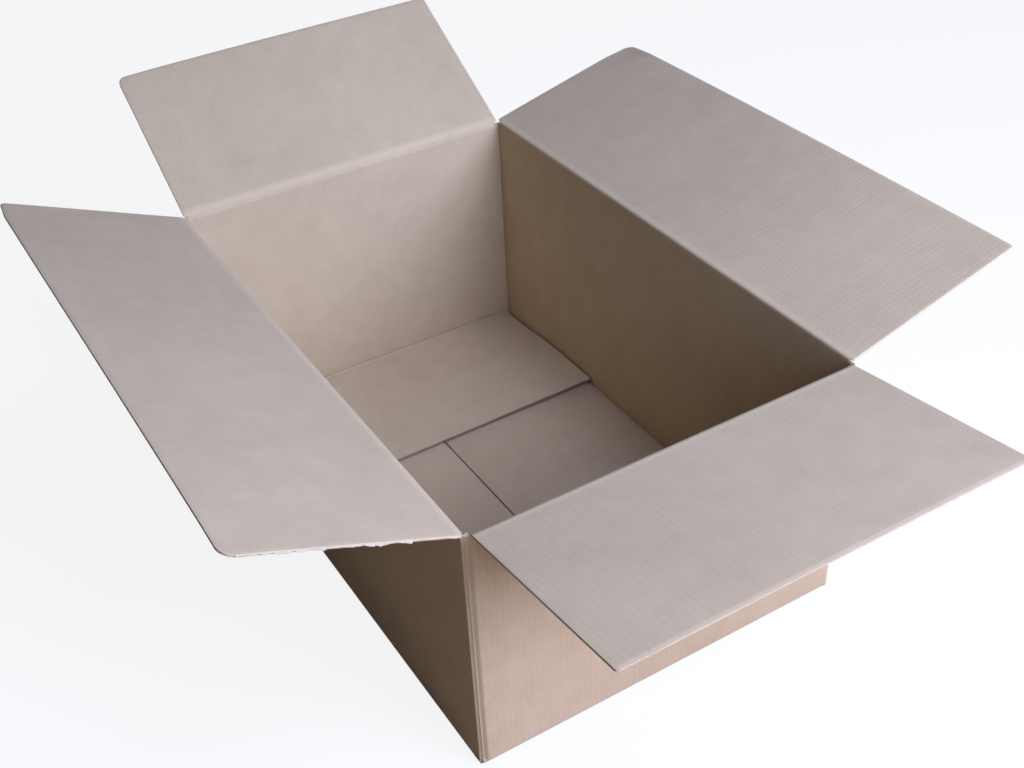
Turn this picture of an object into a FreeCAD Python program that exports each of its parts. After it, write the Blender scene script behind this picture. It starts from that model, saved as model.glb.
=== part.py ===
import FreeCAD, Part
import math
import os

# Open shipping carton of corrugated board, the regular slotted kind: one blank folded into four
# walls and a glued lap, closed at the bottom by four flaps, with its four top flaps folded open.
# X runs along the long walls, -Y is the front, +Z is up, and the origin lies on the underside of
# the bottom, in the middle of the carton. Millimetres and degrees.

Vec = FreeCAD.Vector

# The board, and the outside radius that it takes at a fold
board = 3.0
fold_radius = 2.4

# The room inside the carton when it is closed
inside_length = 600.0
inside_width = 392.0
inside_depth = 262.0

# The slots between neighbouring flaps: how far a flap's side edge stays back from the wall's face
slot_setback = 4.0

# The seam where the two long bottom flaps meet, a little off the middle as in the photograph
seam_offset = -4.0
seam_gap = 2.0

# The end bottom flaps lie on the long ones and reach this far in from their wall
bottom_end_reach = 193.0

# The top flaps: the slit between the two long ones when they are closed, the running gap on each
# side of a score line, the gap between a closed long flap and the end flaps under it, and how far
# below level an open flap can hang
meeting_gap = 2.0
score_gap = 0.25
stacking_gap = 0.3
hang_below_level = 60.0

# The glued lap inside the front right corner, where the two ends of the blank are joined
lap_width = 35.0
lap_taper = 9.0
lap_clearance = 3.0
raw_edge_step = 2.0

# How far each open flap stands above level in the photograph
front_tilt = 22.9
back_tilt = 15.3
left_tilt = 32.0
right_tilt = 7.7

# The radius that wear has given each free corner of the flaps
crisp_corner = 2.0
rubbed_corner = 7.0
worn_corner = 8.5

# Sizes that follow from those above. The end flaps fold about the outer face of the board, and the
# long flaps about its middle, a little higher, so that they close over the end flaps.
half_length = inside_length / 2
half_width = inside_width / 2
end_score_inset = 0.0
end_score_height = 3 * board + inside_depth
long_score_inset = board / 2
long_score_height = end_score_height + stacking_gap + board - long_score_inset
flap_depth = half_width + board - long_score_inset - meeting_gap / 2
closing_bevel = 45.0
hanging_bevel = (90.0 + hang_below_level) / 2

# Each side is made facing +X and then turned about Z to its place
TO_RIGHT = 0.0
TO_BACK = 90.0
TO_LEFT = 180.0
TO_FRONT = 270.0


def run_per_mm(bevel):
    """How far a bevel at this angle off square runs along the board for each mm through it."""
    return math.tan(math.radians(bevel))


def turned(shape, turn):
    """The shape turned about the vertical axis through the origin."""
    shape.rotate(Vec(0, 0, 0), Vec(0, 0, 1), turn)
    return shape


def prism(corners, run):
    """A prism on a closed outline, given as its corners in order, each with its own radius."""
    edges = []
    ends = []
    for index, (point, radius) in enumerate(corners):
        back = (corners[index - 1][0] - point).normalize()
        ahead = (corners[(index + 1) % len(corners)][0] - point).normalize()
        if radius == 0:
            ends.append((point, point))
            continue
        half_angle = back.getAngle(ahead) / 2
        start = point + back * (radius / math.tan(half_angle))
        end = point + ahead * (radius / math.tan(half_angle))
        middle = point + (back + ahead).normalize() * (radius / math.sin(half_angle) - radius)
        edges.append(Part.Arc(start, middle, end).toShape())
        ends.append((start, end))
    for index, (start, _) in enumerate(ends):
        edges.append(Part.makeLine(ends[index - 1][1], start))
    outline = Part.Wire(Part.__sortEdges__(edges))
    return Part.Face(outline).extrude(run)


def wall_and_bottom_flap(wall_face, half_run, underside, flap_edge, score_inset, score_height):
    """One wall and the bottom flap folded from it, as one section drawn out along the wall."""
    outer_face = wall_face + board
    tip_height = score_height - score_gap
    section = [(outer_face, underside, fold_radius)]
    if score_inset > 0:
        section.append((outer_face, tip_height - score_inset * run_per_mm(hanging_bevel), 0))
    section.append((outer_face - score_inset, tip_height, 0))
    section.append((wall_face, tip_height - (board - score_inset) * run_per_mm(closing_bevel), 0))
    section.append((wall_face, underside + board, 0))
    section.append((flap_edge, underside + board, 0))
    section.append((flap_edge, underside, 0))
    corners = [(Vec(out, -half_run, up), radius) for out, up, radius in section]
    return prism(corners, Vec(0, 2 * half_run, 0))


def corner_post(outline):
    """A stretch of upright board at a corner, from the bottom slots up to the top ones."""
    corners = [(Vec(x, y, board), radius) for x, y, radius in outline]
    return prism(corners, Vec(0, 0, end_score_height - board))


def folded_corner(side_x, side_y):
    """A vertical fold between two walls, from slot to slot, with its rounded outside."""
    length_in = half_length - slot_setback
    length_out = half_length + board
    width_in = half_width - slot_setback
    width_out = half_width + board
    return corner_post([
        (side_x * length_out, side_y * width_out, fold_radius),
        (side_x * length_out, side_y * width_in, 0),
        (side_x * half_length, side_y * width_in, 0),
        (side_x * half_length, side_y * half_width, 0),
        (side_x * length_in, side_y * half_width, 0),
        (side_x * length_in, side_y * width_out, 0),
    ])


def joined_corner():
    """The front right corner, where the raw end of the right wall meets the fold of the lap."""
    front_face = -half_width - board
    lap_fold = corner_post([
        (half_length, front_face, fold_radius),
        (half_length, -half_width, 0),
        (half_length - slot_setback, -half_width, 0),
        (half_length - slot_setback, front_face, 0),
    ])
    raw_end = corner_post([
        (half_length, front_face + raw_edge_step, 0),
        (half_length + board, front_face + raw_edge_step, 0),
        (half_length + board, -half_width + slot_setback, 0),
        (half_length, -half_width + slot_setback, 0),
    ])
    return lap_fold.fuse(raw_end)


def glued_lap():
    """The lap folded from the front wall and glued inside the right one, with tapered ends."""
    lap_bottom = 2 * board + lap_clearance
    lap_top = end_score_height - board - lap_clearance
    free_edge = -half_width + lap_width
    lap_face = half_length - board
    return prism([
        (Vec(lap_face, -half_width, lap_bottom), 0),
        (Vec(lap_face, free_edge, lap_bottom + lap_taper), 0),
        (Vec(lap_face, free_edge, lap_top - lap_taper), 0),
        (Vec(lap_face, -half_width, lap_top), 0),
    ], Vec(board, 0, 0))


def end_side(turn):
    """A short wall with its bottom flap, which lies on top of the long ones."""
    flap_edge = half_length - bottom_end_reach
    half_run = half_width - slot_setback
    side = wall_and_bottom_flap(
        half_length, half_run, board, flap_edge, end_score_inset, end_score_height)
    return turned(side, turn)


def long_side(turn, flap_edge):
    """A long wall with its bottom flap, which reaches the seam."""
    half_run = half_length - slot_setback
    side = wall_and_bottom_flap(
        half_width, half_run, 0.0, flap_edge, long_score_inset, long_score_height)
    return turned(side, turn)


def carton_body():
    """The four walls, the glued lap and the closed bottom, all folded from one blank."""
    pieces = [
        end_side(TO_LEFT),
        long_side(TO_BACK, seam_gap / 2 + seam_offset),
        long_side(TO_FRONT, seam_gap / 2 - seam_offset),
        folded_corner(1, 1),
        folded_corner(-1, 1),
        folded_corner(-1, -1),
        joined_corner(),
        glued_lap(),
    ]
    return end_side(TO_RIGHT).multiFuse(pieces).removeSplitter()


def top_flap(sizes, tilt, turn, first_radius, last_radius):
    """One top flap with its bevelled root, made level, tilted about its score and then turned.

    first_radius and last_radius round its free corners, in the order in which +Z turns.
    """
    wall_face, half_run, score_inset, score_height = sizes
    lower = -score_inset
    upper = board - score_inset
    section = [
        (score_gap, 0.0),
        (score_gap + upper * run_per_mm(closing_bevel), upper),
        (flap_depth, upper),
        (flap_depth, lower),
    ]
    if score_inset > 0:
        section.append((score_gap + score_inset * run_per_mm(hanging_bevel), lower))
    slab = prism([(Vec(out, -half_run, up), 0) for out, up in section], Vec(0, 2 * half_run, 0))
    outline = prism([
        (Vec(0, -half_run, lower), 0),
        (Vec(flap_depth, -half_run, lower), first_radius),
        (Vec(flap_depth, half_run, lower), last_radius),
        (Vec(0, half_run, lower), 0),
    ], Vec(0, 0, board))
    flap = slab.common(outline)
    flap.rotate(Vec(0, 0, 0), Vec(0, 1, 0), -tilt)
    flap.translate(Vec(wall_face + board - score_inset, 0, score_height))
    return turned(flap, turn)


end_flap = (half_length, half_width - slot_setback, end_score_inset, end_score_height)
long_flap = (half_width, half_length - slot_setback, long_score_inset, long_score_height)

parts = {
    "carton_body": carton_body(),
    "long_flap_front": top_flap(long_flap, front_tilt, TO_FRONT, crisp_corner, rubbed_corner),
    "long_flap_back": top_flap(long_flap, back_tilt, TO_BACK, crisp_corner, rubbed_corner),
    "end_flap_left": top_flap(end_flap, left_tilt, TO_LEFT, crisp_corner, worn_corner),
    "end_flap_right": top_flap(end_flap, right_tilt, TO_RIGHT, crisp_corner, crisp_corner),
}

os.makedirs("parts", exist_ok=True)
for name, shape in parts.items():
    if len(shape.Solids) != 1 or not shape.isValid():
        raise SystemExit(name + " is not one valid solid")
    shape.exportStep("parts/" + name + ".step")
    box = shape.BoundBox
    print(name, "volume mm3", round(shape.Volume), "from", round(box.XMin, 1), round(box.YMin, 1),
          round(box.ZMin, 1), "to", round(box.XMax, 1), round(box.YMax, 1), round(box.ZMax, 1))
print("end score at", end_score_height, "long score at", long_score_height, "flap depth", flap_depth)
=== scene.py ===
# %% [markdown]
# An open shipping carton of corrugated board
#
# The real carton is one sheet of board, folded round four corners and closed at the bottom, with
# its four top flaps standing open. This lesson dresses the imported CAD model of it.
# The CAD model stays the fixed frame: it says where the walls and the folds are.

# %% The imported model
import math

import bpy
import numpy as np
from mathutils import Matrix, Vector


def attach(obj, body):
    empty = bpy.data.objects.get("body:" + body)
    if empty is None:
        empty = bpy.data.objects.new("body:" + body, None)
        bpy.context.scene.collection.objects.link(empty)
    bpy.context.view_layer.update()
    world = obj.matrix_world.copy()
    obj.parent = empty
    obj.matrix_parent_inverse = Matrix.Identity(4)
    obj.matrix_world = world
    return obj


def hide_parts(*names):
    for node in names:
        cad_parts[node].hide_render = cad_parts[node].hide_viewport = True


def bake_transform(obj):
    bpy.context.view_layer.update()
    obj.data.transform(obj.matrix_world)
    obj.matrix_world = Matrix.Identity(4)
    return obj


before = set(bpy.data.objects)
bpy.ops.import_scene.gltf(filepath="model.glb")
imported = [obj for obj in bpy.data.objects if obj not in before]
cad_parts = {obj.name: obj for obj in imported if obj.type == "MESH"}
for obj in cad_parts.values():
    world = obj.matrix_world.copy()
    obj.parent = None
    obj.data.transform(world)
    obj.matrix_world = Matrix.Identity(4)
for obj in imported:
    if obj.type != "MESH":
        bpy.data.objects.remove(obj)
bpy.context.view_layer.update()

# %% [markdown]
# The sizes
#
# A carton maker thinks of a flat blank: one length runs round the carton, across the flutes, and
# the other runs up the walls, along the flutes. All sizes here are millimetres on that blank, and
# they are the same ones that the CAD source uses. Only the last step turns them into metres.

# %% Board and flutes
BOARD = 3.0
LINER = 0.4
MEDIUM = 0.34
FLUTE_PITCH = 6.0
LINER_DIP = 0.06
# Where the board is pressed very thin, a liner and the fluting take these shares of it
LINER_SHARE = 0.35
MEDIUM_SHARE = 0.5
# A cut pinches the board at a slot and at a free edge, and closes its flutes
SIDE_PINCH = 0.2
END_PINCH = 0.6
CUT_REACH = 2.8
CUT_CLOSING = 1.6
# How far a fold reaches on each side of its line
FOLD_REACH = 2.5
LAP_FOLD_REACH = 1.0
MM = 0.001
print("board", BOARD, "mm thick, liners", LINER, "mm, a flute every", FLUTE_PITCH, "mm")

# %% Walls, bottom flaps and score lines
INSIDE_LENGTH = 600.0
INSIDE_WIDTH = 392.0
SLOT_SETBACK = 4.0
CORNER_TOP = 271.0
LONG_SCORE = 272.8
# Height of the bottom fold, reach of the bottom flap, and height and depth of the top score
END_SIDE = {"pivot": 2 * BOARD, "reach": 193.0, "score": CORNER_TOP, "score_depth": BOARD}
BACK_SIDE = {"pivot": BOARD, "reach": 199.0, "score": LONG_SCORE, "score_depth": BOARD / 2}
FRONT_SIDE = {"pivot": BOARD, "reach": 191.0, "score": LONG_SCORE, "score_depth": BOARD / 2}
SEAM_BELOW_SCORE = 5.0
FLAP_DEPTH = 196.5
print("walls", INSIDE_LENGTH, "by", INSIDE_WIDTH, "mm inside, top flaps", FLAP_DEPTH, "mm deep")

# %% [markdown]
# The blank and its folds
#
# The blank starts at the raw edge in the front right corner, runs along the right wall, the back,
# the left and the front wall, and ends in the lap that is glued inside the right wall.
# Every point of the board is first placed on the flat blank and then folded, as on the folding
# machine, so that the flutes run on through the folds. That is easier than modelling the folds.

# %% Fold lines round the blank
HALF_LENGTH, HALF_WIDTH = INSIDE_LENGTH / 2, INSIDE_WIDTH / 2
FOLDS = np.cumsum([INSIDE_WIDTH, INSIDE_LENGTH, INSIDE_WIDTH, INSIDE_LENGTH - BOARD])
PIVOTS = np.array([(HALF_LENGTH, HALF_WIDTH), (-HALF_LENGTH, HALF_WIDTH),
                   (-HALF_LENGTH, -HALF_WIDTH), (HALF_LENGTH - BOARD, -HALF_WIDTH)])
FOLD_REACHES = np.array([FOLD_REACH, FOLD_REACH, FOLD_REACH, LAP_FOLD_REACH])
RAW_END = -0.4
LAP_START = FOLDS[3] + SLOT_SETBACK
LAP_END = 2016.0
PANELS = {}
for wall, start, length, side in (
    ("right", 0.0, INSIDE_WIDTH, END_SIDE), ("back", FOLDS[0], INSIDE_LENGTH, BACK_SIDE),
    ("left", FOLDS[1], INSIDE_WIDTH, END_SIDE), ("front", FOLDS[2], INSIDE_LENGTH, FRONT_SIDE),
):
    PANELS[wall] = (start + SLOT_SETBACK, start + length - SLOT_SETBACK, side)
print("fold lines at", [float(fold) for fold in FOLDS], "on a blank", LAP_END, "mm round")


def eased(share):
    """A share from 0 to 1 that starts and ends gently."""
    share = np.clip(share, 0.0, 1.0)
    return share * share * (3 - 2 * share)


def hump(share):
    """1 at share 0, falling softly to 0 at shares -1 and 1."""
    return 0.5 + 0.5 * np.cos(np.pi * np.clip(share, -1.0, 1.0))


def bent(out, rise, angle):
    """Points out from and above a horizontal fold, turned outwards about it."""
    return (out * np.cos(angle) + rise * np.sin(angle),
            rise * np.cos(angle) - out * np.sin(angle))


def wrapped(around, out, height):
    """Folds the blank round the carton's corners: out is measured from the walls' inner face."""
    nearest = np.searchsorted((FOLDS[1:] + FOLDS[:-1]) / 2, around)
    along = around - FOLDS[nearest]
    reach = FOLD_REACHES[nearest]
    angle = np.pi / 2 * (nearest + eased((along + reach) / (2 * reach)))
    x = PIVOTS[nearest, 0] + out * np.cos(angle) - along * np.sin(angle)
    y = PIVOTS[nearest, 1] + out * np.sin(angle) + along * np.cos(angle)
    return np.stack([x, y, height], axis=-1) * MM


def beside_wall(around, out, height, turn):
    """The same for a top flap: it follows its own wall's plane and no corner."""
    along = around - FOLDS[turn]
    angle = np.pi / 2 * turn
    x = PIVOTS[turn, 0] + out * np.cos(angle) - along * np.sin(angle)
    y = PIVOTS[turn, 1] + out * np.sin(angle) + along * np.cos(angle)
    return np.stack([x, y, height], axis=-1) * MM


# %% [markdown]
# Three sheets of paper
#
# Corrugated board is a wavy sheet, the fluting, glued between two flat ones, the liners. Its cut
# edges show the wave, so the board is built as those three sheets and not as one solid slab.
# The liners sink a little between the glue lines, which gives the board its faint washboard.

# %% Where each sheet lies in the board
def sheets(around, inner, outer, closing):
    """Lower and upper face of each sheet of paper, between the board's inner and outer face.

    closing is 1 where a knife has pressed the cut shut, so that torn fibres fill the flutes.
    """
    wave = np.cos(2 * np.pi * around / FLUTE_PITCH)
    inner_face = inner + LINER_DIP * (1 + wave) / 2
    outer_face = outer - LINER_DIP * (1 - wave) / 2
    thickness = outer_face - inner_face
    liner = np.minimum(LINER, LINER_SHARE * thickness)
    medium = np.minimum(MEDIUM, MEDIUM_SHARE * thickness)
    low = inner_face + liner
    high = outer_face - liner
    middle = (low + high) / 2 + wave * np.maximum(high - low - medium, 0.0) / 2
    lower = middle - medium / 2
    upper = middle + medium / 2
    return {
        "inner_liner": (inner_face, low),
        "fluting": (lower + closing * (low - lower), upper + closing * (high - upper)),
        "outer_liner": (high, outer_face),
    }


def blank_columns(start, end, step):
    """Positions across the flutes, a whole number of steps to a flute, with both ends exact."""
    inside = np.arange(math.ceil(start / step) * step, end, step)
    inside = inside[(inside > start + 0.3 * step) & (inside < end - 0.3 * step)]
    return np.concatenate([[start], inside, [end]])


# %% [markdown]
# From grids to a mesh
#
# Each sheet comes as two grids of points, its lower and its upper face. Cells that a slot cuts
# away are left out, and every open side gets a narrow rim, so that each sheet is a closed solid.

# %% Faces and rims of one sheet
def sheet_faces(lower_ids, upper_ids, keep):
    """Quads of a sheet's lower face, upper face and rims."""
    def corners(ids):
        return ids[:-1, :-1][keep], ids[:-1, 1:][keep], ids[1:, 1:][keep], ids[1:, :-1][keep]

    lower = np.stack(corners(lower_ids)[::-1], axis=1)
    upper = np.stack(corners(upper_ids), axis=1)
    padded = np.pad(keep, 1)
    near, far = slice(None, -1), slice(1, None)
    rims = []
    for open_side, first, second in (
        (~padded[1:-1, :-2], (far, near), (near, near)),
        (~padded[1:-1, 2:], (near, far), (far, far)),
        (~padded[:-2, 1:-1], (near, near), (near, far)),
        (~padded[2:, 1:-1], (far, far), (far, near)),
    ):
        cells = keep & open_side
        rims.append(np.stack([
            lower_ids[first][cells], lower_ids[second][cells],
            upper_ids[second][cells], upper_ids[first][cells],
        ], axis=1))
    return lower, upper, np.concatenate(rims)


SHARP_ANGLE = 35.0


class BoardMesh:
    """Gathers sheets of paper into one mesh, with blank positions in metres as its UV map."""

    def __init__(self):
        self.points = []
        self.blank = []
        self.faces = []
        self.papers = []
        self.count = 0

    def add_sheet(self, lower, upper, blank, keep, papers):
        """papers gives the material number of the lower face, the upper face and the rims."""
        size = lower.shape[0] * lower.shape[1]
        ids = np.arange(size).reshape(lower.shape[:2]) + self.count
        for kind, quads in zip(papers, sheet_faces(ids, ids + size, keep)):
            self.faces.append(quads)
            self.papers.append(np.full(len(quads), kind))
        self.points += [lower.reshape(-1, 3), upper.reshape(-1, 3)]
        self.blank += [blank.reshape(-1, 2), blank.reshape(-1, 2)]
        self.count += 2 * size

    def finished(self, name, materials):
        """The mesh as an object, without the points that slots leave unused."""
        faces = np.concatenate(self.faces)
        used = np.unique(faces)
        renumbered = np.zeros(self.count, int)
        renumbered[used] = np.arange(len(used))
        faces = renumbered[faces]
        points = np.concatenate(self.points)[used]
        blank = np.concatenate(self.blank)[used]
        mesh = bpy.data.meshes.new(name)
        mesh.vertices.add(len(points))
        mesh.vertices.foreach_set("co", points.astype(np.float32).ravel())
        mesh.loops.add(faces.size)
        mesh.loops.foreach_set("vertex_index", faces.astype(np.int32).ravel())
        mesh.polygons.add(len(faces))
        mesh.polygons.foreach_set("loop_start", np.arange(0, faces.size, 4, dtype=np.int32))
        mesh.polygons.foreach_set("material_index", np.concatenate(self.papers).astype(np.int32))
        mesh.update(calc_edges=True)
        uv_map = mesh.uv_layers.new(name="blank")
        uv_map.data.foreach_set("uv", blank[faces.ravel()].astype(np.float32).ravel() * MM)
        mesh.shade_smooth()
        mesh.set_sharp_from_angle(angle=math.radians(SHARP_ANGLE))
        for material in materials:
            mesh.materials.append(material)
        piece = bpy.data.objects.new(name, mesh)
        bpy.context.scene.collection.objects.link(piece)
        print(name, "has", 2 * len(faces), "triangles")
        return piece


# %% [markdown]
# Colours and the node helper
#
# Colours are written as sRGB hex values, as a picture editor shows them, and one function turns
# them into the linear values that Blender's shaders work with.

# %% Colour and node helpers
def linear(hex_colour):
    """An sRGB hex colour as linear red, green, blue and alpha."""
    shares = [int(hex_colour[place:place + 2], 16) / 255 for place in (1, 3, 5)]
    return [s / 12.92 if s <= 0.04045 else ((s + 0.055) / 1.055) ** 2.4 for s in shares] + [1.0]


def new_material(name):
    """An empty node material with its output node."""
    material = bpy.data.materials.new(name)
    material.use_nodes = True
    material.node_tree.nodes.clear()
    return material


def add_node(tree, kind, settings=None, links=None):
    """Adds a node, sets its properties and sockets, and links sockets to other nodes' outputs."""
    node = tree.nodes.new(kind)
    for name, value in (settings or {}).items():
        if isinstance(name, str) and hasattr(node, name):
            setattr(node, name, value)
        else:
            node.inputs[name].default_value = value
    for name, output in (links or {}).items():
        tree.links.new(output, node.inputs[name])
    return node


# %% [markdown]
# Kraft liner
#
# Both liners are unbleached kraft paper: long brown fibres, pressed while wet and calendered a
# little, which gives a dull, faintly cloudy face with a slight lengthwise streak. The outside
# liner is a little pinker than the inside one. Real fibres are 0.03 mm thick and 2 to 3 mm long,
# too fine to show, so the fibre streaks are drawn about ten times as thick.

# %% The liner material
FIBRE_LENGTH = 9.0
FIBRE_WIDTH = 1.1
CRINKLE_WIDTH = 3.4
CRINKLE_LENGTH = 24.0
SPECK_WIDTH = 1.6
SPECK_LENGTH = 2.6
CLOUD_SIZE = 28.0
PATCH_SIZE = 150.0
# How much clouds, patches, fibres, specks, crinkles and flutes change the paper's tone
TONE_WEIGHTS = (0.9, 0.8, 0.7, 0.45, 0.22, 0.05)
# The top score and the corner folds are paler: partly rubbed wear, partly a painted highlight of
# the bend
WEAR_HIGHLIGHT_SCORE = 275.6
WEAR_HIGHLIGHT_REACH = 6.5
WEAR_HIGHLIGHT_FOLD_REACH = 3.5
WEAR_HIGHLIGHT_SHARE = 0.32
# Height of the paper's relief in millimetres
FIBRE_RELIEF = 0.4
CRINKLE_RELIEF = 0.6
SPECK_RELIEF = 0.4
CUT_RELIEF = 0.3


def kraft_liner(name, pale, deep, worn_highlight, seed):
    """Dull kraft paper: clouds, fibre streaks and crinkles along the flutes.

    Its creases are paler, partly by rubbed wear and partly as a painted highlight.
    """
    material = new_material(name)
    tree = material.node_tree
    blank = add_node(tree, "ShaderNodeUVMap", {"uv_map": "blank"}).outputs["UV"]

    def paper_noise(across, along, detail, shift):
        stretched = add_node(tree, "ShaderNodeMapping", {
            "Location": (shift, shift * 0.7, 0), "Scale": (1 / (across * MM), 1 / (along * MM), 1),
        }, {"Vector": blank})
        return add_node(tree, "ShaderNodeTexNoise", {
            "noise_dimensions": "2D", "Scale": 1.0, "Detail": detail, "Roughness": 0.6,
        }, {"Vector": stretched.outputs[0]}).outputs["Fac"]

    clouds = paper_noise(CLOUD_SIZE, CLOUD_SIZE, 4.0, seed)
    patches = paper_noise(PATCH_SIZE, PATCH_SIZE, 2.0, seed + 11)
    fibres = paper_noise(FIBRE_LENGTH, FIBRE_WIDTH, 3.0, seed + 23)
    specks = paper_noise(SPECK_WIDTH, SPECK_LENGTH, 2.0, seed + 31)
    crinkles = paper_noise(CRINKLE_WIDTH, CRINKLE_LENGTH, 1.0, seed + 41)
    place = add_node(tree, "ShaderNodeSeparateXYZ", {}, {"Vector": blank})
    phase = add_node(tree, "ShaderNodeMath", {
        "operation": "MULTIPLY", 1: 2 * math.pi / (FLUTE_PITCH * MM),
    }, {0: place.outputs["X"]})
    flutes = add_node(tree, "ShaderNodeMath", {"operation": "COSINE"}, {0: phase.outputs[0]})
    layers = (clouds, patches, fibres, specks, crinkles, flutes.outputs[0])
    tone = None
    for source, weight in zip(layers, TONE_WEIGHTS):
        shift = 0.0 if tone is not None else 0.5 - 0.5 * sum(TONE_WEIGHTS[:-1])
        summed = add_node(tree, "ShaderNodeMath", {
            "operation": "MULTIPLY_ADD", 1: weight, 2: shift,
        }, {0: source})
        if tone is not None:
            tree.links.new(tone, summed.inputs[2])
        tone = summed.outputs[0]
    colour = add_node(tree, "ShaderNodeMix", {
        "data_type": "RGBA", 6: linear(deep), 7: linear(pale),
    }, {0: tone})
    # The paler band along the score and the corner folds: rubbed wear and a painted highlight of
    # the bend
    wear_and_highlight = None
    lines = [("Y", WEAR_HIGHLIGHT_SCORE, WEAR_HIGHLIGHT_REACH)]
    lines += [("X", fold, WEAR_HIGHLIGHT_FOLD_REACH) for fold in FOLDS[:3]]
    for axis, line, reach in lines:
        offset = add_node(tree, "ShaderNodeMath", {"operation": "SUBTRACT", 1: line * MM},
                          {0: place.outputs[axis]})
        away = add_node(tree, "ShaderNodeMath", {"operation": "ABSOLUTE"}, {0: offset.outputs[0]})
        band = add_node(tree, "ShaderNodeMapRange", {
            "interpolation_type": "SMOOTHSTEP", 2: reach * MM, 3: WEAR_HIGHLIGHT_SHARE, 4: 0.0,
        }, {0: away.outputs[0]})
        if wear_and_highlight is not None:
            band = add_node(tree, "ShaderNodeMath", {"operation": "MAXIMUM"},
                            {0: wear_and_highlight, 1: band.outputs[0]})
        wear_and_highlight = band.outputs[0]
    # Mixes in the paler crease colour, partly wear and partly painted highlight
    colour = add_node(tree, "ShaderNodeMix", {"data_type": "RGBA", 7: linear(worn_highlight)},
                      {0: wear_and_highlight, 6: colour.outputs[2]})
    dullness = add_node(tree, "ShaderNodeMapRange", {3: 0.78, 4: 0.92}, {0: fibres})
    relief = add_node(tree, "ShaderNodeBump", {"Strength": 0.25, "Distance": FIBRE_RELIEF * MM},
                      {"Height": fibres})
    creases = add_node(tree, "ShaderNodeBump", {"Strength": 0.15, "Distance": CRINKLE_RELIEF * MM},
                       {"Height": crinkles, "Normal": relief.outputs[0]})
    grain = add_node(tree, "ShaderNodeBump", {"Strength": 0.3, "Distance": SPECK_RELIEF * MM},
                     {"Height": specks, "Normal": creases.outputs[0]})
    shader = add_node(tree, "ShaderNodeBsdfPrincipled", {
        "IOR": 1.5, "Specular IOR Level": 0.3, "Sheen Weight": 0.06, "Sheen Roughness": 0.6,
    }, {"Base Color": colour.outputs[2], "Roughness": dullness.outputs[0],
        "Normal": grain.outputs[0]})
    add_node(tree, "ShaderNodeOutputMaterial", {}, {"Surface": shader.outputs[0]})
    return material


# The third colour is the creases' paler band: rubbed wear and a painted highlight
kraft_inside = kraft_liner("kraft_liner_inside", "#c5ae88", "#b79f7c", "#d8c49b", 3.0)
kraft_outside = kraft_liner("kraft_liner_outside", "#d0b189", "#c19e78", "#dec69e", 57.0)

# %% [markdown]
# Fluting
#
# The wavy middle sheet is recycled fluting paper: thinner, softer and browner than the liners,
# and rough where the knives cut it. It shows only at the cut edges, so its pattern is a simple
# speckle of fibre ends.

# %% The fluting material
SPECKLE_SIZE = 1.2


def fluting_paper():
    """Dull brown fluting and the torn fibres of cut edges."""
    material = new_material("fluting_paper")
    tree = material.node_tree
    blank = add_node(tree, "ShaderNodeUVMap", {"uv_map": "blank"}).outputs["UV"]
    speckle = add_node(tree, "ShaderNodeTexNoise", {
        "noise_dimensions": "2D", "Scale": 1 / (SPECKLE_SIZE * MM), "Detail": 3.0,
    }, {"Vector": blank}).outputs["Fac"]
    colour = add_node(tree, "ShaderNodeMix", {
        "data_type": "RGBA", 6: linear("#c0a785"), 7: linear("#e6d6b5"),
    }, {0: speckle})
    relief = add_node(tree, "ShaderNodeBump", {"Strength": 0.4, "Distance": CUT_RELIEF * MM},
                      {"Height": speckle})
    shader = add_node(tree, "ShaderNodeBsdfPrincipled", {
        "Roughness": 0.92, "IOR": 1.5, "Specular IOR Level": 0.2,
    }, {"Base Color": colour.outputs[2], "Normal": relief.outputs[0]})
    add_node(tree, "ShaderNodeOutputMaterial", {}, {"Surface": shader.outputs[0]})
    return material


papers = [kraft_inside, fluting_paper(), kraft_outside]
INSIDE, CUT, OUTSIDE = range(3)
SHEET_PAPERS = {
    "inner_liner": (INSIDE, CUT, INSIDE),
    "fluting": (CUT, CUT, CUT),
    "outer_liner": (CUT, OUTSIDE, OUTSIDE),
}
print("papers", [paper.name for paper in papers])

# %% [markdown]
# The walls and the closed bottom
#
# Along the blank, each row of points has a height that depends on the side it crosses: the free
# edge of the bottom flap, the bottom fold, the seam under the top score and the tops of the
# corners between the slots. The bottom flaps are folded in under a right angle, the end ones
# above the long ones. The carton could be put together from ten flat boards, but one long grid
# carries the flutes and the creases through the corners, as on the real blank.

# %% Heights of the rows along the blank
# BREAKS are the places round the blank where a slot or the lap begins or ends
BOTTOM_WIDER = 2.8
SLOT_WIDTH = 2 * SLOT_SETBACK
FLUTING_STEP = FLUTE_PITCH / 8
BREAKS = [RAW_END]
for start, end, side in PANELS.values():
    BREAKS += [start, end]
BREAKS += [LAP_START, LAP_END]


def along_blank(values):
    """A height as a function of the position round the blank.

    values are the heights on the right, back, left and front side and at the lap's two edges.
    """
    ends = [values[0]]
    for value in values[:4]:
        ends += [value, value]
    return lambda around: np.interp(around, BREAKS, ends + values[4:])


sides = [side for _, _, side in PANELS.values()]
REACHES = [sides[0]["reach"]]
for side in sides:
    REACHES += [side["reach"], side["reach"]]
# The lap has no bottom flap, so its bottom fold and free edge are put out of the way below it
LAP_FOLD = 60.0
REACHES += [LAP_FOLD, LAP_FOLD]
fold_height = along_blank([side["pivot"] for side in sides] + [-LAP_FOLD, -LAP_FOLD])
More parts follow.
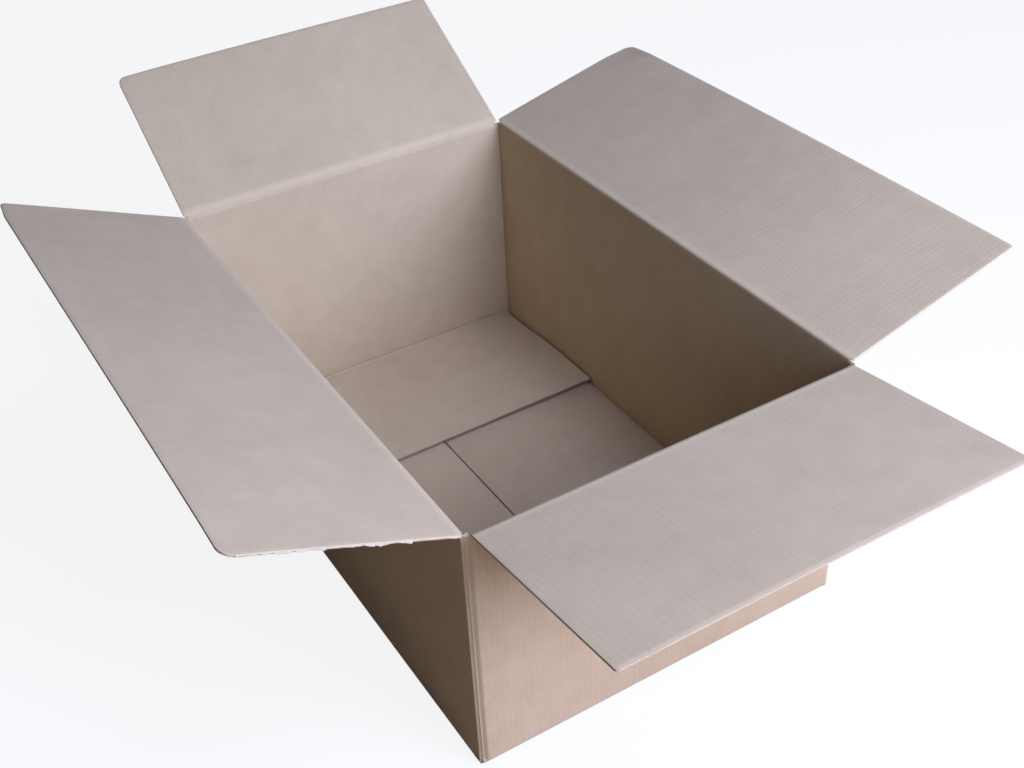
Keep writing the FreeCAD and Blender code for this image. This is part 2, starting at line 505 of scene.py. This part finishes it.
# Rows: free edge, below, on and above the bottom fold, seam under the top score, top of corners
ROW_HEIGHTS = [
    along_blank([side["pivot"] - side["reach"] for side in sides] + [0.0, 0.0]),
    along_blank([side["pivot"] - 4.0 for side in sides] + [6.0, 14.0]),
    along_blank([side["pivot"] for side in sides] + [9.0, 18.0]),
    along_blank([side["pivot"] + 4.0 for side in sides] + [12.0, 21.0]),
    along_blank([side["score"] - SEAM_BELOW_SCORE for side in sides] + [265.0, 256.0]),
    along_blank([CORNER_TOP] * 4 + [CORNER_TOP, 262.0]),
]
CORNER_LEVEL, LAP_LEVEL, SEAM_LEVEL = 1.25, 2, 4
WALL_LEVELS = np.concatenate([
    [0, 0.015, 0.36, 0.55, 0.74, 0.92, 1, 1.25, 1.5, 1.75, 2, 2.25, 2.5, 2.75, 3],
    3 + np.array([0.04, 0.2, 0.35, 0.5, 0.65, 0.8, 0.96]), [4, 5],
])
FLUTING_LEVELS = np.array([0, 0.015, 0.36, 0.55, 0.74, 0.92, 1, 1.5, 2, 2.5, 3, 3.35, 3.65, 4, 5])
print("rows up the walls", len(WALL_LEVELS), "and up their fluting", len(FLUTING_LEVELS))


# %% [markdown]
# What makes board look like board
#
# Board is never quite flat. Its walls bow between the folds, the end bottom flaps spring up from
# the long ones, and knives and creasing wheels press it thin. These small offsets are computed
# for every point, which is simpler than sculpting them and keeps every size exact.

# %% Bow of the walls
WALL_BOWS = (1.2, -1.0, 0.9, 1.5)
BOW_START = 12.0
BOW_HEIGHT = 250.0
BOTTOM_CRUSH, BOTTOM_CRUSH_REACH = 0.9, 4.0
CORNER_CRUSH, CORNER_CRUSH_REACH = 0.8, 3.6
OUTSIDE_CRUSH = 0.15
RAW_PRESSED, RAW_REACH = 2.7, 5.0
SPRINGS = {"left": (3.8, 8.2), "right": (2.0, 2.5)}
SPRING_REACH = 120.0


def wall_bow(around, height):
    """How far a wall stands out of flat: boards bow between their folds."""
    bow = np.zeros_like(height)
    for (start, end, _), size in zip(PANELS.values(), WALL_BOWS):
        across = np.clip((around - start) / (end - start), 0, 1)
        upward = np.clip((height - BOW_START) / BOW_HEIGHT, 0, 1)
        bow += size * np.sin(np.pi * across) ** 2 * np.sin(np.pi * upward) ** 2
    return bow


def wall_board(around, height):
    """Inner and outer face of the walls' board, and how far it is pressed shut at its cuts."""
    rise = height - fold_height(around)
    nearest = np.abs(around[..., None] - FOLDS).min(-1)
    crushed = (BOTTOM_CRUSH * hump(rise / BOTTOM_CRUSH_REACH)
               + CORNER_CRUSH * hump(nearest / CORNER_CRUSH_REACH))
    to_slot = np.abs(around[..., None] - np.array(BREAKS)).min(-1)
    to_edge = np.interp(around, BREAKS, REACHES) + rise
    below = rise < -FOLD_REACH
    pinch = below * (SIDE_PINCH * hump(to_slot / CUT_REACH) + END_PINCH * hump(to_edge / CUT_REACH))
    raw_edge = RAW_PRESSED * hump((around - RAW_END) / RAW_REACH) * (rise > 0)
    closing = np.maximum(below * hump(to_slot / CUT_CLOSING),
                         (rise > 0) * hump((around - RAW_END) / CUT_CLOSING))
    return crushed + pinch, BOARD - OUTSIDE_CRUSH * crushed - pinch - raw_edge, closing


def spring(around, rise):
    """How far an end bottom flap springs up from the long ones, most at its back end."""
    lift = np.zeros_like(rise)
    for name, (front_lift, back_lift) in SPRINGS.items():
        start, end, _ = PANELS[name]
        across = np.clip((around - start) / (end - start), 0, 1)
        backward = across if name == "right" else 1 - across
        inside = (around > start) & (around < end)
        share = eased(-(rise + 4) / SPRING_REACH)
        lift += inside * share * (front_lift + (back_lift - front_lift) * backward ** 1.5)
    return lift


def widening(around, rise):
    """How far along the blank an end bottom flap's sides reach into its narrow slots."""
    along = np.zeros_like(rise)
    for name in SPRINGS:
        start, end, _ = PANELS[name]
        across = (2 * around - start - end) / (end - start)
        along += (np.abs(across) <= 1) * BOTTOM_WIDER * across * eased(-(rise + 3) / 4)
    return along


def wall_points(around, height, depth):
    """Folds a point of the walls' blank: first under the bottom, then round the corner."""
    rise = height - fold_height(around)
    depth = depth - spring(around, rise)
    angle = np.pi / 2 * (1 - eased((rise + FOLD_REACH) / (2 * FOLD_REACH)))
    out, lift = bent(depth + wall_bow(around, height), rise, angle)
    points = wrapped(around, out, fold_height(around) + lift)
    along = widening(around, rise) * MM
    turn = np.pi / 2 * np.searchsorted(FOLDS[:3], around)
    points[..., 0] -= along * np.sin(turn)
    points[..., 1] += along * np.cos(turn)
    return points


# %% Building the walls
def wall_mesh(name, names, step, levels):
    """The named sheets of paper of the walls and the bottom, as one piece."""
    columns = [blank_columns(a, b, step if b - a > SLOT_WIDTH else FLUTING_STEP)
               for a, b in zip(BREAKS[:-1], BREAKS[1:])]
    around_line = np.concatenate([columns[0]] + [c[1:] for c in columns[1:]])
    heights = np.array([row(around_line) for row in ROW_HEIGHTS])
    around = np.tile(around_line, (len(levels), 1))
    level = np.minimum(levels.astype(int), len(ROW_HEIGHTS) - 2)
    share = (levels - level)[:, None]
    height = heights[level] * (1 - share) + heights[level + 1] * share
    middle = (around_line[1:] + around_line[:-1]) / 2
    on_panel = np.zeros(len(middle), bool)
    for start, end, _ in PANELS.values():
        on_panel |= (middle > start) & (middle < end)
    on_lap = middle > LAP_START
    cell_level = (levels[1:] + levels[:-1]) / 2
    under_seam = (cell_level < SEAM_LEVEL)[:, None]
    over_lap = (cell_level > LAP_LEVEL)[:, None]
    over_corner = (cell_level > CORNER_LEVEL)[:, None]
    keep = np.where(on_panel, under_seam, np.where(on_lap, under_seam & over_lap, over_corner))
    board = BoardMesh()
    for sheet, (low, high) in sheets(around, *wall_board(around, height)).items():
        if sheet in names:
            board.add_sheet(wall_points(around, height, low), wall_points(around, height, high),
                            np.stack([around, height], -1), keep, SHEET_PAPERS[sheet])
    return board.finished(name, papers)


liners = wall_mesh("carton_liners", ("inner_liner", "outer_liner"), FLUTE_PITCH / 3, WALL_LEVELS)
fluting = wall_mesh("carton_fluting", ("fluting",), FLUTING_STEP, FLUTING_LEVELS)
for piece in (liners, fluting):
    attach(piece, "carton")
    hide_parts("carton_body")

# %% [markdown]
# The top flaps
#
# Each top flap is one piece with its score line and the last few millimetres of wall under it.

# %% Sizes of each top flap
# "first" and "last" are a flap's two sides in the order of the blank.
# tilt: degrees above level. corners: radii of the first and last free corner.
# bow, curl, sag, ear: how far the middle, the last side, the free edge and the last corner stand
# out of flat. wider: how far the first and last side reach into their slots, at the score and at
# the free edge. trim: how much shorter each side is. swept: how far the first corner is worn back.
FLAPS = {
    "front": {"node": "long_flap_front", "turn": 3, "tilt": 22.9, "corners": (4.0, 11.0),
              "bow": 0.5, "curl": -0.7, "sag": -0.3, "ear": 0.5,
              "wider": ((3.0, 1.0), (5.0, 5.4)), "trim": (1.8, -1.3), "swept": 3.2, "torn": True},
    "back": {"node": "long_flap_back", "turn": 1, "tilt": 15.3, "corners": (2.0, 10.5),
             "bow": 2.6, "curl": 0.0, "sag": 2.0, "ear": 2.6,
             "wider": ((2.9, 1.2), (6.7, 2.2)), "trim": (0.2, 1.0), "swept": 0.0, "torn": False},
    "left": {"node": "end_flap_left", "turn": 2, "tilt": 32.0, "corners": (2.0, 9.0),
             "bow": 1.4, "curl": -0.3, "sag": 0.6, "ear": 0.5,
             "wider": ((3.3, 2.2), (3.2, 1.8)), "trim": (2.6, 5.4), "swept": 0.0, "torn": False},
    "right": {"node": "end_flap_right", "turn": 0, "tilt": 7.7, "corners": (2.5, 2.5),
              "bow": 0.8, "curl": -0.3, "sag": 0.3, "ear": 0.0,
              "wider": ((0.0, 0.0), (1.4, -0.4)), "trim": (3.5, 1.2), "swept": 0.0, "torn": False},
}
FLAP_MIDDLE = [22, 45, 75, 105, 135, 150, 160, 169, 178, 184.5]
FLAP_ROWS = np.array([-SEAM_BELOW_SCORE, -4.2, -3.4, -2.6, -1.8, -1, -0.3, 0.4, 1.2, 2, 2.8, 3.6,
                      4.4, 5.5, 9, *FLAP_MIDDLE, 187.5, 190, 192, 194, 195.5, FLAP_DEPTH])
FLUTING_ROWS = np.array([-SEAM_BELOW_SCORE, -3, -1.5, 0, 1.5, 3, 5, *FLAP_MIDDLE,
                         188, 191, 194, 195.5, FLAP_DEPTH])
SCORE_REACH = 2.8
SCORE_CRUSH = 3.8
SCORE_DEPTH = 1.4
EAR_REACH = 48.0
SWEPT_REACH = 36.0
CORNER_ROWS = 12.0
END_CLOSING = 0.3
WIDENED_FROM = 1.5
BENT_FROM = 6.0
print("tilts above level", {name: flap["tilt"] for name, flap in FLAPS.items()})


def rounded_rows(around, rise, panel, flap):
    """Pulls the free edge back where a corner is scuffed round or swept back."""
    start, end, _ = panel
    drop = np.zeros_like(around)
    for distance, radius in zip((around - start, end - around), flap["corners"]):
        inside = np.clip(radius - distance, 0, radius)
        drop = np.maximum(drop, radius - np.sqrt(radius ** 2 - inside ** 2))
    drop += flap["swept"] * hump((around - start) / SWEPT_REACH)
    share = np.clip((rise - (FLAP_DEPTH - CORNER_ROWS)) / CORNER_ROWS, 0, 1)
    return rise - share * drop


def flap_points(around, rise, depth, panel, flap):
    """Bends a point of a top flap about its score line and carries it to its wall."""
    start, end, side = panel
    across = (2 * around - start - end) / (end - start)
    to_ear = np.hypot(end - around, FLAP_DEPTH - rise)
    first, last = (1 - across) / 2, (1 + across) / 2
    first_more, last_more = (np.interp(rise, [0, WIDENED_FROM, FLAP_DEPTH], (0, *pair))
                             for pair in flap["wider"])
    around = around + last * last_more - first * first_more
    trim = first * flap["trim"][0] + last * flap["trim"][1]
    rise = rise - trim * np.clip(rise / FLAP_DEPTH, 0, 1)
    outward = eased((rise - BENT_FROM) / (FLAP_DEPTH - BENT_FROM))
    bow = outward * (flap["bow"] * (1 - across ** 2) + flap["curl"] * across ** 3 - flap["sag"])
    bow -= flap["ear"] * hump(to_ear / EAR_REACH)
    open_angle = math.radians(90 - flap["tilt"])
    angle = open_angle * eased((rise + SCORE_REACH) / (2 * SCORE_REACH))
    out, lift = bent(depth - side["score_depth"] - bow, rise, angle)
    return beside_wall(around, side["score_depth"] + out, side["score"] + lift, flap["turn"])


def flap_board(around, rise, panel):
    """Inner and outer face of a flap's board, and how far it is pressed shut at its cuts."""
    start, end, side = panel
    crushed = SCORE_DEPTH * hump(rise / SCORE_CRUSH)
    outer_share = 1 - side["score_depth"] / BOARD
    to_side = np.minimum(around - start, end - around)
    to_end = FLAP_DEPTH - rise
    pinch = SIDE_PINCH * hump(to_side / CUT_REACH) * eased((rise - 1) / 4)
    pinch = np.maximum(pinch, END_PINCH * hump(to_end / CUT_REACH))
    closing = np.maximum(hump(to_side / CUT_CLOSING), END_CLOSING * hump(to_end / CUT_CLOSING))
    return ((1 - outer_share) * crushed + pinch, BOARD - outer_share * crushed - pinch,
            closing * (rise > 1))


# %% [markdown]
# The torn lip
#
# A blunt knife tore the front flap's side towards the near corner and left a ragged lip of paper.
# Displacing the flap's own edge would need far more points, so the lip is a small sheet by itself
# with a random reach, always from the same seed.

# %% The torn lip of the front flap
LIP_SEED = 5
LIP_START, LIP_BEFORE_END, LIP_STEP = 4.0, 9.0, 1.1
LIP_LEAST, LIP_TUFTS, LIP_FIBRES = 0.4, 3.0, 1.1
LIP_ROOT = 1.4
TUFT_PITCH = 5.5


def torn_lip(panel, flap):
    """A ragged strip of inner liner along the side where the slot knife tore the paper."""
    _, end, side = panel
    random = np.random.default_rng(LIP_SEED)
    rows = np.arange(LIP_START, FLAP_DEPTH - LIP_BEFORE_END, LIP_STEP)
    places = np.arange(0.0, FLAP_DEPTH, TUFT_PITCH)
    tufts = np.interp(rows, places, random.random(len(places)) ** 1.6)
    rag = LIP_LEAST + LIP_TUFTS * tufts + LIP_FIBRES * random.random(len(rows))
    across = np.stack([np.full(len(rows), -LIP_ROOT), 0.3 * rag, rag], axis=1)
    around = end + across
    rise = np.repeat(rows[:, None], 3, axis=1)
    # How deep in the board the lip starts, and how far its tip droops
    droop = np.stack([np.full(len(rows), 0.45), 0.5 + 0.1 * rag,
                      0.5 + 0.35 * rag * random.random(len(rows))], 1)
    keep = np.ones((len(rows) - 1, 2), bool)
    return (flap_points(around, rise, droop - 0.02, panel, flap),
            flap_points(around, rise, droop + 0.6 * LINER, panel, flap),
            np.stack([around, side["score"] + rise], -1), keep, SHEET_PAPERS["fluting"])


# %% Building the top flaps
def flap_mesh(name, panel, flap):
    """One top flap with its score line."""
    start, end, side = panel
    board = BoardMesh()
    for names, step, rows in (
        (("inner_liner", "outer_liner"), FLUTE_PITCH / 4, FLAP_ROWS),
        (("fluting",), FLUTING_STEP, FLUTING_ROWS),
    ):
        line = blank_columns(start, end, step)
        around, rise = np.meshgrid(line, rows)
        faces = flap_board(around, rise, panel)
        rise = rounded_rows(around, rise, panel, flap)
        keep = np.ones((len(rows) - 1, len(line) - 1), bool)
        for sheet, (low, high) in sheets(around, *faces).items():
            if sheet in names:
                board.add_sheet(flap_points(around, rise, low, panel, flap),
                                flap_points(around, rise, high, panel, flap),
                                np.stack([around, side["score"] + rise], -1),
                                keep, SHEET_PAPERS[sheet])
    if flap["torn"]:
        board.add_sheet(*torn_lip(panel, flap))
    return board.finished(name, papers)


# %% [markdown]
# Placing the flaps
#
# A score line is no hinge with a pin: the crushed board bends over a few millimetres. Each flap is
# built open with that bend at its score line and takes the place of its CAD flap.

for side_name, flap in FLAPS.items():
    panel = PANELS[side_name]
    piece = flap_mesh("top_flap_" + side_name, panel, flap)
    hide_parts(flap["node"])
    side = panel[2]
    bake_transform(piece)

# %% [markdown]
# The floor and the background
#
# The floor is plain and pale. Rays from the camera see it nearly white, while light that it sends
# back to the carton is that of a grey floor, so the shaded sides stay dark as in the photograph.
# A second, darker rectangle lies under the carton, so that no white shows through its slots.

# %% Floor and world
def pale_floor(name, glow):
    """A plain sheet that keeps the carton's shadow. glow is how far it looks white by itself."""
    material = new_material(name)
    tree = material.node_tree
    rays = add_node(tree, "ShaderNodeLightPath")
    seen = add_node(tree, "ShaderNodeMath", {"operation": "MAXIMUM"},
                    {0: rays.outputs["Is Camera Ray"], 1: rays.outputs["Is Glossy Ray"]})
    seen = add_node(tree, "ShaderNodeMath", {"operation": "MAXIMUM"},
                    {0: seen.outputs[0], 1: rays.outputs["Is Transmission Ray"]})
    share = add_node(tree, "ShaderNodeMath", {"operation": "MULTIPLY", 1: glow},
                     {0: seen.outputs[0]})
    shade = add_node(tree, "ShaderNodeMix", {
        "data_type": "RGBA", 6: linear("#a09074"), 7: linear("#fffaf0"),
    }, {0: seen.outputs[0]})
    matt = add_node(tree, "ShaderNodeBsdfDiffuse", {}, {"Color": shade.outputs[2]})
    white = add_node(tree, "ShaderNodeEmission", {"Color": (1, 1, 1, 1), "Strength": 1.0})
    mixed = add_node(tree, "ShaderNodeMixShader", {},
                     {0: share.outputs[0], 1: matt.outputs[0], 2: white.outputs[0]})
    add_node(tree, "ShaderNodeOutputMaterial", {}, {"Surface": mixed.outputs[0]})
    return material


FLOOR_HALF = 15.0
UNDER_HALF = (0.295, 0.191)
FLOOR_HEIGHT, UNDER_HEIGHT = -0.0012, -0.0006
FLOOR_GLOW = 0.88


def floor_rectangle(name, half_length, half_width, height, material):
    """A level rectangle round the origin."""
    mesh = bpy.data.meshes.new(name)
    mesh.from_pydata([(-half_length, -half_width, height), (half_length, -half_width, height),
                      (half_length, half_width, height), (-half_length, half_width, height)],
                     [], [(0, 1, 2, 3)])
    mesh.materials.append(material)
    rectangle = bpy.data.objects.new(name, mesh)
    bpy.context.scene.collection.objects.link(rectangle)
    return rectangle


floor_rectangle("floor", FLOOR_HALF, FLOOR_HALF, FLOOR_HEIGHT,
                pale_floor("pale_floor", FLOOR_GLOW))
floor_rectangle("floor_under_carton", *UNDER_HALF, UNDER_HEIGHT, pale_floor("shaded_floor", 0.0))

world = bpy.data.worlds.new("studio")
bpy.context.scene.world = world
world.use_nodes = True
sky = world.node_tree
sky.nodes.clear()
rays = add_node(sky, "ShaderNodeLightPath")
dim = add_node(sky, "ShaderNodeBackground", {"Color": linear("#f4f4f4"), "Strength": 0.02})
white = add_node(sky, "ShaderNodeBackground", {"Color": (1, 1, 1, 1), "Strength": 1.0})
seen = add_node(sky, "ShaderNodeMixShader", {},
                {0: rays.outputs["Is Camera Ray"], 1: dim.outputs[0], 2: white.outputs[0]})
add_node(sky, "ShaderNodeOutputWorld", {}, {"Surface": seen.outputs[0]})
print("floor", 2 * FLOOR_HALF, "m square, in the world", world.name)


# %% [markdown]
# Lamps
#
# Daylight from big windows is soft, because it comes from wide areas. Each lamp is such a panel,
# placed by its bearing and height in degrees as seen from the carton, which is easier to match to
# a photograph than coordinates. The strongest stands behind the right side of the carton.

# %% Lamps
LAMP_AIM = Vector((0, 0, 0.2))


def soft_panel(name, azimuth, elevation, distance, size, power, colour):
    """An upright rectangular lamp that faces the carton, size wide and high."""
    lamp = bpy.data.lights.new(name, "AREA")
    lamp.shape = "RECTANGLE"
    lamp.size, lamp.size_y = size
    lamp.energy = power
    lamp.color = linear(colour)[:3]
    holder = bpy.data.objects.new(name, lamp)
    a, e = math.radians(azimuth), math.radians(elevation)
    towards = Vector((math.cos(a) * math.cos(e), math.sin(a) * math.cos(e), math.sin(e)))
    holder.location = LAMP_AIM + distance * towards
    holder.rotation_euler = towards.to_track_quat("Z", "Y").to_euler()
    bpy.context.scene.collection.objects.link(holder)
    return holder


DAYLIGHT = "#bfceff"
soft_panel("near_window", 5, 27, 1.7, (1.4, 1.0), 27.4, DAYLIGHT)
soft_panel("wide_window", 28, 27, 2.4, (1.4, 1.0), 67.2, DAYLIGHT)
soft_panel("skylight", 28, 65, 2.4, (1.4, 1.0), 38.1, DAYLIGHT)
soft_panel("fill_behind", 165, 20, 3.0, (2.0, 1.6), 4.5, DAYLIGHT)
print("lamps", [lamp.name for lamp in bpy.data.lights])

# %% [markdown]
#
# The camera stands where the photographer stood. Its place and turn were found by fitting corners
# of the carton to the photograph, and are kept as numbers because aiming by eye is less exact.

# %% Camera
CAMERA_PLACE = (0.97960, -0.53735, 0.96933)
CAMERA_RIGHT = (0.52372, 0.85084, -0.04214)
CAMERA_UP = (-0.48653, 0.33935, 0.80506)
CAMERA_BACK = (0.69928, -0.40113, 0.59169)
camera_data = bpy.data.cameras.new("camera")
camera_data.sensor_width = 36.0
camera_data.lens = 47.49
camera = bpy.data.objects.new("camera", camera_data)
turn = Matrix((CAMERA_RIGHT, CAMERA_UP, CAMERA_BACK)).transposed().to_4x4()
camera.matrix_world = Matrix.Translation(CAMERA_PLACE) @ turn
bpy.context.scene.collection.objects.link(camera)
bpy.context.scene.camera = camera
print("camera at", CAMERA_PLACE, "with a", camera_data.lens, "mm lens")

bpy.context.scene.view_settings.view_transform = "Standard"
